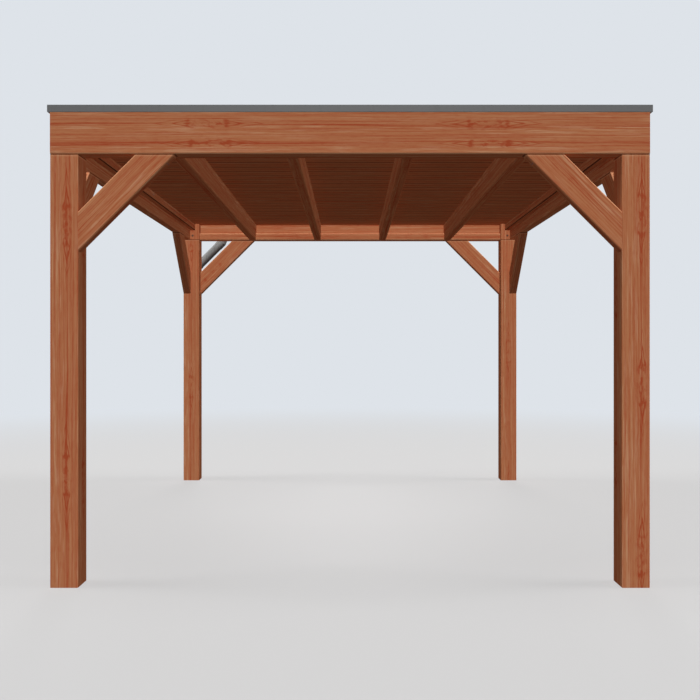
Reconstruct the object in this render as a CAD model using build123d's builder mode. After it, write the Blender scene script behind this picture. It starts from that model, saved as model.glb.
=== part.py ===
import os
from math import pi, sqrt, tan

from build123d import *

# Overall sizes of the timber frame, over the outer faces of the posts
frame_width = 3000.0
frame_depth = 3500.0
clear_height = 2170.0

# Timber sections
post_size = 140.0
beam_thickness = 60.0
beam_height = 220.0
rafter_thickness = 60.0
rafter_height = 140.0
ledger_thickness = 45.0
ledger_height = 58.0
brace_thickness = 65.0
brace_width = 140.0
brace_leg = 487.0
arris = 5.0

# Layout of the roof
rafter_count = 4
board_count = 26
board_thickness = 18.0
board_groove = 5.0
membrane_thickness = 1.5

# Aluminium roof edge trim
trim_face = 35.0
trim_projection = 10.5
trim_metal = 2.5
trim_rise = 20.5
trim_cap = 9.0
trim_slope = 8.0
trim_flange = 48.0
trim_drip = 5.0

# Rainwater outlet and downpipe
pipe_diameter = 75.0
pipe_wall = 2.0
pipe_gap = 20.0
pipe_offset = 258.0
upper_bend_rise = 7.0
socket_wall = 3.0
socket_clearance = 0.2
elbow_leg = 66.0
elbow_radius = 75.0
socket_stop = 4.0
spout_width = 104.0
spout_lift_share = 0.06
spout_height_share = 0.76
spout_clearance = 0.3
outlet_flange_width = 170.0
outlet_flange_height_share = 0.86
outlet_flange_metal = 2.0
outlet_funnel = 62.0
outlet_shoulder = 6.0
outlet_wall = 2.5

# Pipe clips
clip_band = 3.0
clip_height = 25.0
clip_stem = 16.0
clip_plate_width = 44.0
clip_plate_height = 70.0
clip_plate_metal = 3.0
clip_height_shares = (0.12, 0.5, 0.88)

# Reach of cutting tools past the stock
overrun = 5.0

# Levels
beam_bottom = clear_height
beam_top = beam_bottom + beam_height
deck_bottom = beam_bottom + rafter_height
deck_top = deck_bottom + board_thickness
side_ledger_bottom = deck_bottom - ledger_height
trim_seat = beam_top + membrane_thickness
trim_bottom = trim_seat + trim_rise - trim_face
roof_surface = deck_top + membrane_thickness

# Plan: the origin lies on the ground at the middle of the whole footprint, downpipe included
pipe_radius = pipe_diameter / 2
socket_radius = pipe_radius + socket_clearance + socket_wall
clip_radius = pipe_radius + socket_clearance + clip_band
pipe_reach = pipe_gap + pipe_radius + max(socket_radius, clip_radius)
frame_middle = (trim_projection - pipe_reach) / 2
half_width = frame_width / 2
front_face = frame_middle - frame_depth / 2
rear_face = frame_middle + frame_depth / 2
post_x = half_width - post_size / 2
post_y = rear_face - post_size / 2
rafter_length = frame_depth - 2 * beam_thickness
room_width = frame_width - 2 * beam_thickness
board_pitch = rafter_length / board_count

side_to_side = Plane.YZ
front_to_rear = Plane.XZ.offset(-frame_middle)

os.makedirs("parts", exist_ok=True)


def save(piece, name):
    piece.part.label = name
    export_step(piece.part, f"parts/{name}.step")


def mirrored(piece, about):
    with BuildPart() as copy:
        add(piece.part)
        mirror(about=about, mode=Mode.REPLACE)
    return copy


# A straight timber with eased long edges; base is the middle of its lower face at one end
def timber(base, run, across, length, thickness, height):
    with BuildPart() as stick:
        with BuildSketch(Plane(origin=base, x_dir=across, z_dir=run)) as section:
            Rectangle(thickness, height, align=(Align.CENTER, Align.MIN))
            chamfer(section.vertices(), arris)
        extrude(amount=length)
    return stick


# Posts: the head is cut away for the two beams and for the side ledger, leaving a tenon
with BuildPart() as rear_right_post:
    with BuildSketch(Plane.XY) as post_section:
        with Locations((post_x, post_y)):
            Rectangle(post_size, post_size)
        chamfer(post_section.vertices(), arris)
    extrude(amount=deck_bottom)
    with BuildSketch(Plane.XY.offset(beam_bottom)):
        with Locations((half_width - beam_thickness, post_y)):
            Rectangle(post_size, post_size + 2 * overrun, align=(Align.MIN, Align.CENTER))
        with Locations((post_x, rear_face - beam_thickness)):
            Rectangle(post_size + 2 * overrun, post_size, align=(Align.CENTER, Align.MIN))
    extrude(amount=beam_height, mode=Mode.SUBTRACT)
    with BuildSketch(Plane.XY.offset(side_ledger_bottom)):
        with Locations((half_width - beam_thickness - ledger_thickness, post_y)):
            Rectangle(post_size, post_size + 2 * overrun, align=(Align.MIN, Align.CENTER))
    extrude(amount=beam_height, mode=Mode.SUBTRACT)

front_right_post = mirrored(rear_right_post, front_to_rear)
save(rear_right_post, "rear_right_post")
save(front_right_post, "front_right_post")
save(mirrored(rear_right_post, side_to_side), "rear_left_post")
save(mirrored(front_right_post, side_to_side), "front_left_post")

# Ring beam: front and rear run the full width, the side beams butt between them
front_beam = timber(
    (-half_width, front_face + beam_thickness / 2, beam_bottom),
    (1, 0, 0), (0, 1, 0), frame_width, beam_thickness, beam_height,
)
save(front_beam, "front_beam")

right_beam = timber(
    (half_width - beam_thickness / 2, front_face + beam_thickness, beam_bottom),
    (0, 1, 0), (-1, 0, 0), rafter_length, beam_thickness, beam_height,
)
save(right_beam, "right_beam")
save(mirrored(right_beam, side_to_side), "left_beam")

# The rear beam is slotted above the deck for the outlet spout
pipe_y = rear_face + pipe_gap + pipe_radius
lower_pipe_x = -post_x
upper_pipe_x = lower_pipe_x + pipe_offset
outlet_room = trim_bottom - roof_surface
spout_height = spout_height_share * outlet_room
spout_bottom = roof_surface + spout_lift_share * outlet_room
spout_middle = spout_bottom + spout_height / 2
slot_width = spout_width + 2 * spout_clearance
slot_height = spout_height + 2 * spout_clearance


# Cutter for the slot that lets the spout through an upright sheet or timber
def spout_slot(y_from, reach):
    with BuildPart() as slot:
        with BuildSketch(Plane(origin=(upper_pipe_x, y_from, spout_middle), x_dir=(-1, 0, 0), z_dir=(0, 1, 0))):
            Rectangle(slot_width, slot_height)
        extrude(amount=reach)
    return slot


rear_beam_stock = mirrored(front_beam, front_to_rear)
rear_beam_slot = spout_slot(rear_face - beam_thickness - overrun, beam_thickness + 2 * overrun)
with BuildPart() as rear_beam:
    add(rear_beam_stock.part)
    add(rear_beam_slot.part, mode=Mode.SUBTRACT)
save(rear_beam, "rear_beam")

# Ledgers: low ones between the posts carry the rafters, high ones along the sides carry the board ends
low_ledger_length = frame_width - 2 * post_size
front_ledger = timber(
    (-low_ledger_length / 2, front_face + beam_thickness + ledger_thickness / 2, beam_bottom),
    (1, 0, 0), (0, 1, 0), low_ledger_length, ledger_thickness, ledger_height,
)
save(front_ledger, "front_ledger")
save(mirrored(front_ledger, front_to_rear), "rear_ledger")

right_ledger = timber(
    (half_width - beam_thickness - ledger_thickness / 2, front_face + beam_thickness, side_ledger_bottom),
    (0, 1, 0), (-1, 0, 0), rafter_length, ledger_thickness, ledger_height,
)
save(right_ledger, "right_ledger")
save(mirrored(right_ledger, side_to_side), "left_ledger")

# Rafters: evenly spaced between the side beams, notched at both ends over the low ledgers
rafter_front = front_face + beam_thickness
rafter_rear = rear_face - beam_thickness
notch_top = beam_bottom + ledger_height
rafter_pitch = (frame_width - beam_thickness) / (rafter_count + 1)
for number in range(rafter_count):
    rafter_x = (number - (rafter_count - 1) / 2) * rafter_pitch
    with BuildPart() as rafter:
        with BuildSketch(Plane.YZ.offset(rafter_x)):
            with BuildLine():
                Polyline(
                    (rafter_front, notch_top),
                    (rafter_front, deck_bottom),
                    (rafter_rear, deck_bottom),
                    (rafter_rear, notch_top),
                    (rafter_rear - ledger_thickness, notch_top),
                    (rafter_rear - ledger_thickness, beam_bottom),
                    (rafter_front + ledger_thickness, beam_bottom),
                    (rafter_front + ledger_thickness, notch_top),
                    close=True,
                )
            make_face()
        extrude(amount=rafter_thickness / 2, both=True)
        chamfer(rafter.edges().filter_by(Axis.Y).group_by(Axis.Z)[0], arris)
    save(rafter, f"rafter_{number + 1}")

# Knee braces at 45 degrees: cut upright against the post and level under the beam
brace_inner_leg = brace_leg - brace_width * sqrt(2)


# The corner lies where post and beam meet on the outer face; inward runs along the beam
def knee_brace(corner, inward, outward):
    with BuildPart() as brace:
        with BuildSketch(Plane(origin=corner, x_dir=inward, z_dir=outward)):
            with BuildLine():
                Polyline(
                    (0, -brace_leg),
                    (0, -brace_inner_leg),
                    (brace_inner_leg, 0),
                    (brace_leg, 0),
                    close=True,
                )
            make_face()
        extrude(amount=-brace_thickness)
        chamfer(brace.edges().sort_by(SortBy.LENGTH)[-4:], arris)
    return brace


front_left_brace = knee_brace((post_size - half_width, front_face, beam_bottom), (1, 0, 0), (0, -1, 0))
rear_left_brace = mirrored(front_left_brace, front_to_rear)
save(front_left_brace, "front_left_brace")
save(mirrored(front_left_brace, side_to_side), "front_right_brace")
save(rear_left_brace, "rear_left_brace")
save(mirrored(rear_left_brace, side_to_side), "rear_right_brace")

right_front_brace = knee_brace((half_width, front_face + post_size, beam_bottom), (0, 1, 0), (1, 0, 0))
right_rear_brace = mirrored(right_front_brace, front_to_rear)
save(right_front_brace, "right_front_brace")
save(mirrored(right_front_brace, side_to_side), "left_front_brace")
save(right_rear_brace, "right_rear_brace")
save(mirrored(right_rear_brace, side_to_side), "left_rear_brace")

# Roof deck of tongued boards laid from side to side, with a V joint under each seam
with BuildPart() as roof_deck:
    with BuildSketch(Plane.YZ):
        with Locations((frame_middle, deck_bottom)):
            Rectangle(rafter_length, board_thickness, align=(Align.CENTER, Align.MIN))
        with Locations((frame_middle, deck_bottom)):
            with GridLocations(board_pitch, 0, board_count - 1, 1):
                Rectangle(board_groove * sqrt(2), board_groove * sqrt(2), rotation=45, mode=Mode.SUBTRACT)
    extrude(amount=room_width / 2, both=True)
save(roof_deck, "roof_deck")

# Rubber membrane: over the deck, up the inner faces of the beams and over their tops
membrane_slot = spout_slot(rafter_rear - membrane_thickness - overrun, membrane_thickness + overrun)
with BuildPart() as roof_membrane:
    with BuildSketch(Plane.XY.offset(deck_top)):
        with Locations((0, frame_middle)):
            Rectangle(room_width, rafter_length)
    extrude(amount=trim_seat - deck_top)
    with BuildSketch(Plane.XY.offset(beam_top)):
        with Locations((0, frame_middle)):
            Rectangle(frame_width, frame_depth)
    extrude(amount=membrane_thickness)
    with BuildSketch(Plane.XY.offset(roof_surface)):
        with Locations((0, frame_middle)):
            Rectangle(room_width - 2 * membrane_thickness, rafter_length - 2 * membrane_thickness)
    extrude(amount=beam_height, mode=Mode.SUBTRACT)
    add(membrane_slot.part, mode=Mode.SUBTRACT)
save(roof_membrane, "roof_membrane")


# Roof edge trim: upright face, hollow kerb that slopes back, and a flange on the beam; mitred corners
def edge_trim(name, outward, reach, half_run):
    face_bottom = trim_rise - trim_face
    along = Vector(0, 0, 1).cross(outward)
    middle = Vector(0, frame_middle, trim_seat) + outward * reach
    face_inside = trim_projection - trim_metal
    cap_inside = trim_projection - trim_cap
    leg_width = trim_metal * sqrt(1 + (trim_slope / trim_rise) ** 2)
    with BuildPart() as trim:
        with BuildSketch(Plane(origin=middle, x_dir=outward, z_dir=outward.cross(Vector(0, 0, 1)))):
            with BuildLine():
                Polyline(
                    (trim_projection, face_bottom),
                    (trim_projection, trim_rise),
                    (cap_inside, trim_rise),
                    (cap_inside - trim_slope, trim_metal),
                    (-trim_flange, trim_metal),
                    (-trim_flange, 0),
                    (face_inside, 0),
                    (face_inside, face_bottom + trim_metal),
                    (face_inside - trim_drip, face_bottom + trim_metal),
                    (face_inside - trim_drip, face_bottom),
                    close=True,
                )
            make_face()
            with BuildLine():
                Polyline(
                    (face_inside, trim_metal),
                    (face_inside, trim_rise - trim_metal),
                    (cap_inside + leg_width, trim_rise - trim_metal),
                    (cap_inside + leg_width - trim_slope, trim_metal),
                    close=True,
                )
            make_face(mode=Mode.SUBTRACT)
        extrude(amount=half_run + trim_projection, both=True)
        for turn in (1, -1):
            corner = middle + outward * trim_projection + along * (turn * (half_run + trim_projection))
            split(bisect_by=Plane(origin=corner, z_dir=along * turn - outward), keep=Keep.BOTTOM)
    save(trim, name)


edge_trim("front_trim", Vector(0, -1, 0), frame_depth / 2, half_width)
edge_trim("rear_trim", Vector(0, 1, 0), frame_depth / 2, half_width)
edge_trim("left_trim", Vector(-1, 0, 0), half_width, frame_depth / 2)
edge_trim("right_trim", Vector(1, 0, 0), half_width, frame_depth / 2)

# Roof outlet: a flange inside the upstand, a flat spout through the rear beam, and a tapered hopper to the pipe
upper_bend = beam_bottom + upper_bend_rise
lower_bend = upper_bend - pipe_offset
elbow_insert = elbow_radius * tan(pi / 8) + socket_stop
upstand_face = rafter_rear - membrane_thickness
spout_end = pipe_y + pipe_radius + outlet_shoulder / 2
with BuildPart() as roof_outlet:
    with BuildSketch(Plane.XY.offset(spout_bottom)):
        with Locations((upper_pipe_x, upstand_face - outlet_flange_metal)):
            Rectangle(
                spout_width,
                spout_end - upstand_face + outlet_flange_metal,
                align=(Align.CENTER, Align.MIN),
            )
    extrude(amount=spout_height)
    with BuildSketch(Plane.XY.offset(roof_surface)):
        with Locations((upper_pipe_x, upstand_face)):
            Rectangle(outlet_flange_width, outlet_flange_metal, align=(Align.CENTER, Align.MAX))
    extrude(amount=outlet_flange_height_share * (beam_top - roof_surface))
    funnel_length = spout_end - rear_face
    funnel_foot = 2 * (spout_end - pipe_y)
    stub_length = spout_bottom - outlet_funnel - upper_bend - elbow_insert
    with BuildSketch(Plane.XY.offset(spout_bottom)):
        with Locations((upper_pipe_x, rear_face)):
            Rectangle(spout_width, funnel_length, align=(Align.CENTER, Align.MIN))
    with BuildSketch(Plane.XY.offset(spout_bottom - outlet_funnel)):
        with Locations((upper_pipe_x, pipe_y)):
            Rectangle(funnel_foot, funnel_foot)
    loft()
    with BuildSketch(Plane.XY.offset(spout_bottom - outlet_funnel)):
        with Locations((upper_pipe_x, pipe_y)):
            Circle(pipe_radius)
    extrude(amount=-stub_length)
    # The waterway: in through the flange, along the spout and down the hopper
    bore_width = spout_width - 2 * outlet_wall
    bore_height = spout_height - 2 * outlet_wall
    mouth = upstand_face - outlet_flange_metal - overrun
    with BuildSketch(Plane(origin=(upper_pipe_x, mouth, spout_middle), x_dir=(-1, 0, 0), z_dir=(0, 1, 0))):
        Rectangle(bore_width, bore_height)
    extrude(amount=spout_end - outlet_wall - mouth, mode=Mode.SUBTRACT)
    with BuildSketch(Plane.XY.offset(spout_bottom + 2 * outlet_wall)):
        with Locations((upper_pipe_x, rear_face + outlet_wall)):
            Rectangle(bore_width, funnel_length - 2 * outlet_wall, align=(Align.CENTER, Align.MIN))
    with BuildSketch(Plane.XY.offset(spout_bottom - outlet_funnel + outlet_wall)):
        with Locations((upper_pipe_x, pipe_y)):
            Rectangle(funnel_foot - 2 * outlet_wall, funnel_foot - 2 * outlet_wall)
    loft(mode=Mode.SUBTRACT)
    with BuildSketch(Plane.XY.offset(spout_bottom - outlet_funnel + outlet_wall)):
        with Locations((upper_pipe_x, pipe_y)):
            Circle(pipe_radius - outlet_wall)
    extrude(amount=-(outlet_wall + stub_length + overrun), mode=Mode.SUBTRACT)
save(roof_outlet, "roof_outlet")


# Segmented 45 degree elbow: two sockets with a mitred piece between them
def elbow(name, corner, into, leave):
    mitre = elbow_radius * (tan(pi / 8) - tan(pi / 16))
    entry = corner - into * elbow_leg
    with BuildPart() as fitting:
        with BuildLine():
            Polyline(entry, corner - into * mitre, corner + leave * mitre, corner + leave * elbow_leg)
        with BuildSketch(Plane(origin=entry, z_dir=into)):
            Circle(socket_radius)
            Circle(pipe_radius + socket_clearance, mode=Mode.SUBTRACT)
        sweep(transition=Transition.RIGHT)
    save(fitting, name)


# Straight length of pipe from start to end
def straight_pipe(name, start, end):
    axis = end - start
    with BuildPart() as length:
        with BuildSketch(Plane(origin=start, z_dir=axis)):
            Circle(pipe_radius)
            Circle(pipe_radius - pipe_wall, mode=Mode.SUBTRACT)
        extrude(amount=axis.length)
    save(length, name)


down = Vector(0, 0, -1)
slant = Vector(-1, 0, -1).normalized()
upper_corner = Vector(upper_pipe_x, pipe_y, upper_bend)
lower_corner = Vector(lower_pipe_x, pipe_y, lower_bend)
elbow("upper_elbow", upper_corner, down, slant)
elbow("lower_elbow", lower_corner, slant, down)
straight_pipe("offset_pipe", upper_corner + slant * elbow_insert, lower_corner - slant * elbow_insert)
straight_pipe("downpipe", lower_corner + down * elbow_insert, Vector(lower_pipe_x, pipe_y, 0))

# Clips that hold the downpipe off the rear of the post
for number, share in enumerate(clip_height_shares):
    clip_bottom = share * (lower_bend - elbow_leg) - clip_height / 2
    with BuildPart() as clip:
        with BuildSketch(Plane.XY.offset(clip_bottom)):
            with Locations((lower_pipe_x, pipe_y)):
                Circle(clip_radius)
            with Locations((lower_pipe_x, rear_face)):
                Rectangle(clip_stem, pipe_gap + pipe_radius, align=(Align.CENTER, Align.MIN))
            with Locations((lower_pipe_x, pipe_y)):
                Circle(pipe_radius + socket_clearance, mode=Mode.SUBTRACT)
        extrude(amount=clip_height)
        with BuildSketch(Plane(origin=(lower_pipe_x, rear_face, clip_bottom + clip_height / 2),
                               x_dir=(-1, 0, 0), z_dir=(0, 1, 0))):
            Rectangle(clip_plate_width, clip_plate_height)
        extrude(amount=clip_plate_metal)
    save(clip, f"pipe_clip_{number + 1}")
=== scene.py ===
import math
import random

import bmesh
import bpy
from mathutils import Matrix, Vector
from mathutils import noise as wave


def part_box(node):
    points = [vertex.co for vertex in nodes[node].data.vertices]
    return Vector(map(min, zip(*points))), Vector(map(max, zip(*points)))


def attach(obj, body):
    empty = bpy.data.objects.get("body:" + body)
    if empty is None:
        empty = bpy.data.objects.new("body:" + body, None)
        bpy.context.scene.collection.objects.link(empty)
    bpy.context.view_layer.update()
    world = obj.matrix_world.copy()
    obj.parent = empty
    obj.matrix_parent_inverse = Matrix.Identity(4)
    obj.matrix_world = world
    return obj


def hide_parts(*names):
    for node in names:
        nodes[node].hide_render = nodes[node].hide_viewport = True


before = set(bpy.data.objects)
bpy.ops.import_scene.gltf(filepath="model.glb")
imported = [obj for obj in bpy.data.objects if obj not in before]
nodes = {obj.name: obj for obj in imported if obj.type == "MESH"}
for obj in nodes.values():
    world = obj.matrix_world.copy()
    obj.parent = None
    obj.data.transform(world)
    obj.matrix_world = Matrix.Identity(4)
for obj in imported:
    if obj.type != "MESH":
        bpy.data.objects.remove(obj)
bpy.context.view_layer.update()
scene = bpy.context.scene
print("frame loaded:", len(nodes), "nodes")


# sRGB values from 0 to 255, as read off, to the linear ones that the sockets take
def paint(red, green, blue):
    def linear(value):
        value = value / 255
        return value / 12.92 if value < 0.04045 else ((value + 0.055) / 1.055) ** 2.4
    return (linear(red), linear(green), linear(blue), 1.0)


# small helpers for shader trees: each gives back the output socket of the node it adds
def feed(tree, socket, value):
    if isinstance(value, bpy.types.NodeSocket):
        tree.links.new(value, socket)
    else:
        socket.default_value = value


def calc(tree, operation, *values, clamp=False):
    node = tree.nodes.new("ShaderNodeMath")
    node.operation = operation
    node.use_clamp = clamp
    for socket, value in zip(node.inputs, values):
        feed(tree, socket, value)
    return node.outputs["Value"]


def vec(tree, operation, *values):
    node = tree.nodes.new("ShaderNodeVectorMath")
    node.operation = operation
    for socket, value in zip(node.inputs, values):
        feed(tree, socket, value)
    return node.outputs["Value" if operation in ("DOT_PRODUCT", "LENGTH") else "Vector"]


def smooth(tree, value, low, high, toLow=0.0, toHigh=1.0):
    node = tree.nodes.new("ShaderNodeMapRange")
    node.interpolation_type = "SMOOTHSTEP"
    for name, given in (("Value", value), ("From Min", low), ("From Max", high),
                        ("To Min", toLow), ("To Max", toHigh)):
        feed(tree, node.inputs[name], given)
    return node.outputs["Result"]


def noise(tree, vector, scale, detail, roughness):
    node = tree.nodes.new("ShaderNodeTexNoise")
    for name, given in (("Vector", vector), ("Scale", scale), ("Detail", detail), ("Roughness", roughness)):
        feed(tree, node.inputs[name], given)
    return node.outputs["Fac"]


# the mix node has float, vector and colour sockets of the same name, so the colour ones go by number
def blendColour(tree, factor, first, second, mode="MIX"):
    node = tree.nodes.new("ShaderNodeMix")
    node.data_type = "RGBA"
    node.blend_type = mode
    feed(tree, node.inputs["Factor"], factor)
    feed(tree, node.inputs[6], first)
    feed(tree, node.inputs[7], second)
    return node.outputs[2]


# a colour made a little lighter or darker by a value
def tint(tree, colour, tone):
    return blendColour(tree, 1.0, colour, joinXyz(tree, tone, tone, tone), "MULTIPLY")


def joinXyz(tree, x, y, z):
    node = tree.nodes.new("ShaderNodeCombineXYZ")
    for socket, value in zip(node.inputs, (x, y, z)):
        feed(tree, socket, value)
    return node.outputs["Vector"]


def splitXyz(tree, vector):
    node = tree.nodes.new("ShaderNodeSeparateXYZ")
    feed(tree, node.inputs["Vector"], vector)
    return node.outputs["X"], node.outputs["Y"], node.outputs["Z"]


# an empty node group with named sockets
def newGroup(name, inputs, outputs):
    group = bpy.data.node_groups.new(name, "ShaderNodeTree")
    for label, kind, value in inputs:
        socket = group.interface.new_socket(label, in_out="INPUT", socket_type="NodeSocket" + kind)
        socket.default_value = value
    for label, kind in outputs:
        group.interface.new_socket(label, in_out="OUTPUT", socket_type="NodeSocket" + kind)
    entry = group.nodes.new("NodeGroupInput")
    leave = group.nodes.new("NodeGroupOutput")
    return group, entry.outputs, leave.inputs


# a material with its Principled shader and a group placed in it with its own values
def newMaterial(name):
    material = bpy.data.materials.new(name)
    material.use_nodes = True
    tree = material.node_tree
    return material, tree, tree.nodes["Principled BSDF"]


def placeGroup(tree, group, **values):
    node = tree.nodes.new("ShaderNodeGroup")
    node.node_tree = group
    for name, value in values.items():
        feed(tree, node.inputs[name], value)
    return node.outputs


def bump(tree, height, strength, distance):
    node = tree.nodes.new("ShaderNodeBump")
    node.inputs["Strength"].default_value = strength
    node.inputs["Distance"].default_value = distance
    tree.links.new(height, node.inputs["Height"])
    return node.outputs["Normal"]


# the grain of planed softwood under a red-brown stain
timber = {
    "tan": paint(165, 108, 74),
    "red": paint(148, 66, 40),
    "pale": paint(178, 132, 100),
    "endGrain": paint(118, 66, 41),
    # colour of worn arrises, also used as a painted highlight on arrises that face up or forward and down
    "wearAndPaintedLight": paint(208, 156, 118),
    # colour of painted shade: on arrises in corners, in the grooves between the boards, in the line under the
    # beam and on the rafters' ends
    "paintedShade": paint(70, 38, 25),
    "sideShift": (1.3, 0.0, 0.7),   # every side shows its own stretch of grain
    "lean": 0.010,                  # how far the grain wanders sideways
    "heartWidth": 0.014,
    "heartStagger": 0.010,          # one heart's whorls stand a little off its neighbour's
    "arrowSlope": 0.165,            # arrowheads of the growth rings either side of a whorl of knots
    "arrowPitch": 0.085,
    "whorlReach": 0.095,
    "shake": 0.07,                  # ragged edges of the arrowheads
    "knotSize": 0.010,
    "mottleWidth": 0.024,
    "whorlShares": {"arrows": 0.85, "tips": 0.30, "knots": 0.55, "mottle": 0.62},
    "redShares": {"fine": 0.27, "flecks": 0.16, "flow": 0.22},
    "arris": 0.005,
    # painted shadow line under the beam, and painted highlight on the edge below it
    "jointShadowLine": (0.002, 0.0034, 0.85),     # down from the beam, width and strength
    "jointHighlight": (0.0092, 0.0026, 0.32),
    "seed": 7,
}


# a bell curve about a place
def bell(tree, value, place, width, strength=1.0):
    away = calc(tree, "DIVIDE", calc(tree, "SUBTRACT", value, place), width)
    curve = calc(tree, "EXPONENT", calc(tree, "MULTIPLY", calc(tree, "MULTIPLY", away, away), -1.0))
    return curve if strength == 1.0 else calc(tree, "MULTIPLY", curve, strength)


# in a row of evenly spaced places: how far off the nearest one, as a share of the pitch, and its number
def nearest(tree, value, first, pitch):
    turns = calc(tree, "ADD", calc(tree, "DIVIDE", calc(tree, "SUBTRACT", value, first), pitch), 0.5)
    return calc(tree, "SUBTRACT", calc(tree, "FRACT", turns), 0.5), calc(tree, "FLOOR", turns)


def product(tree, first, *others):
    for value in others:
        first = calc(tree, "MULTIPLY", first, value)
    return first


def buildTimberFigure():
    g, put, out = newGroup("timberFigure", [
        ("Position", "Vector", (0, 0, 0)), ("Facing", "Vector", (0, 0, 1)),
        ("Centre", "Vector", (0, 0, 0)), ("Run", "Vector", (1, 0, 0)), ("Across", "Vector", (0, 1, 0)),
        ("Half Size", "Vector", (1, 0.1, 0.1)), ("Heart", "Float", 0.0), ("Heart Pitch", "Float", 0.4),
        ("Whorl", "Float", 0.0), ("Whorl Pitch", "Float", 1.2), ("Seed", "Float", 0.0),
        ("Grime", "Float", 0.0), ("Figure", "Float", 1.0), ("Joint", "Float", -1.0),
        ("Shaded Ends", "Float", 0.0),
    ], [("Colour", "Color"), ("Roughness", "Float"), ("Height", "Float")])
    third = vec(g, "CROSS_PRODUCT", put["Run"], put["Across"])
    away = vec(g, "SUBTRACT", put["Position"], put["Centre"])
    wide = vec(g, "DOT_PRODUCT", away, put["Across"])
    deep = vec(g, "DOT_PRODUCT", away, third)
    # along each face and across it
    along = calc(g, "ADD", vec(g, "DOT_PRODUCT", away, put["Run"]),
                 vec(g, "DOT_PRODUCT", put["Facing"], timber["sideShift"]))
    sideOn = calc(g, "ABSOLUTE", vec(g, "DOT_PRODUCT", put["Facing"], put["Across"]))
    turned = calc(g, "GREATER_THAN", sideOn, 0.5)
    across = calc(g, "ADD", wide, calc(g, "MULTIPLY", turned, calc(g, "SUBTRACT", deep, wide)))

    def streaks(alongScale, acrossScale, detail, low, high):
        spot = joinXyz(g, calc(g, "MULTIPLY", along, alongScale), calc(g, "MULTIPLY", across, acrossScale),
                       calc(g, "ADD", put["Seed"], alongScale))
        return smooth(g, noise(g, spot, 1.0, detail, 0.55), low, high)

    def wander(streak, share):
        return calc(g, "MULTIPLY", calc(g, "SUBTRACT", streak, 0.5), share)

    across = calc(g, "ADD", across, wander(streaks(1.6, 7.0, 1.0, 0.0, 1.0), timber["lean"]))
    # from the heart of the tree, sideways, and from the nearest whorl of knots, lengthways
    offShare, heartNumber = nearest(g, across, put["Heart"], put["Heart Pitch"])
    aside = calc(g, "MULTIPLY", offShare, put["Heart Pitch"])
    offHeart = calc(g, "ABSOLUTE", aside)
    staggered = calc(g, "ADD", along, calc(g, "MULTIPLY", heartNumber, timber["heartStagger"]))
    offShare = nearest(g, staggered, put["Whorl"], put["Whorl Pitch"])[0]
    fromWhorl = calc(g, "ABSOLUTE", calc(g, "MULTIPLY", offShare, put["Whorl Pitch"]))
    heart = bell(g, aside, 0.0, timber["heartWidth"])
    # straight lines, the red heart and the arrowheads that run out from the whorls
    lines = streaks(0.8, 105.0, 2.0, 0.45, 0.60)
    fine = streaks(2.2, 210.0, 1.0, 0.46, 0.58)
    flecks = streaks(20.0, 130.0, 1.0, 0.48, 0.64)
    flow = streaks(1.7, 3.0, 1.0, 0.30, 0.62)
    shake = wander(streaks(8.0, 48.0, 2.0, 0.0, 1.0), timber["shake"])
    slanted = calc(g, "DIVIDE", offHeart, timber["arrowSlope"])
    reach = calc(g, "ADD", calc(g, "ADD", slanted, fromWhorl), shake)
    offShare, ring = nearest(g, reach, timber["whorlReach"], timber["arrowPitch"])
    year = g.nodes.new("ShaderNodeTexWhiteNoise")
    year.noise_dimensions = "1D"
    feed(g, year.inputs["W"], calc(g, "ADD", ring, put["Seed"]))
    arrows = product(
        g, smooth(g, calc(g, "ABSOLUTE", offShare), 0.24, 0.08),
        smooth(g, year.outputs["Value"], 0.0, 0.8, 0.55, 1.0), smooth(g, offHeart, 0.030, 0.012),
        smooth(g, reach, 0.30, 0.22), smooth(g, fromWhorl, 0.075, 0.105))
    tips = calc(g, "MULTIPLY", arrows, smooth(g, offHeart, 0.008, 0.002))
    # knots that close the arrowheads, and the mottle between them
    ragged = calc(g, "ADD", fromWhorl, calc(g, "MULTIPLY", shake, 0.7))
    knotSize = timber["knotSize"]
    knots = calc(g, "MULTIPLY", bell(g, ragged, timber["whorlReach"], knotSize),
                 bell(g, offHeart, knotSize, knotSize))
    mottle = product(g, streaks(26.0, 60.0, 2.0, 0.46, 0.62), bell(g, aside, 0.0, timber["mottleWidth"]),
                     smooth(g, fromWhorl, 0.12, 0.08))
    paleSide = smooth(g, aside, -0.006, -0.020, 0.35, 1.0)
    pale = calc(g, "MULTIPLY", streaks(4.5, 75.0, 1.0, 0.51, 0.64), paleSide)
    red = calc(g, "MULTIPLY", lines, calc(g, "ADD", 0.28, calc(g, "MULTIPLY", heart, 0.20)))

    def addShares(total, masks, shares):
        for name, share in shares.items():
            total = calc(g, "ADD", total, calc(g, "MULTIPLY", masks[name], share))
        return total

    whorl = addShares(0.0, {"arrows": arrows, "tips": tips, "knots": knots, "mottle": mottle},
                      timber["whorlShares"])
    red = calc(g, "ADD", red, calc(g, "MULTIPLY", whorl, put["Figure"]))
    red = addShares(red, {"fine": fine, "flecks": flecks, "flow": calc(g, "MULTIPLY", heart, flow)},
                    timber["redShares"])
    colour = blendColour(g, calc(g, "MULTIPLY", pale, 0.7), timber["tan"], timber["pale"])
    colour = blendColour(g, calc(g, "MINIMUM", red, 1.0), colour, timber["red"])
    spot = joinXyz(g, calc(g, "MULTIPLY", along, 9.0), calc(g, "MULTIPLY", wide, 420.0),
                   calc(g, "MULTIPLY", deep, 420.0))
    fibre = noise(g, spot, 1.0, 2.0, 0.6)
    colour = tint(g, colour, calc(g, "ADD", 0.96, calc(g, "MULTIPLY", fibre, 0.08)))
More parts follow.
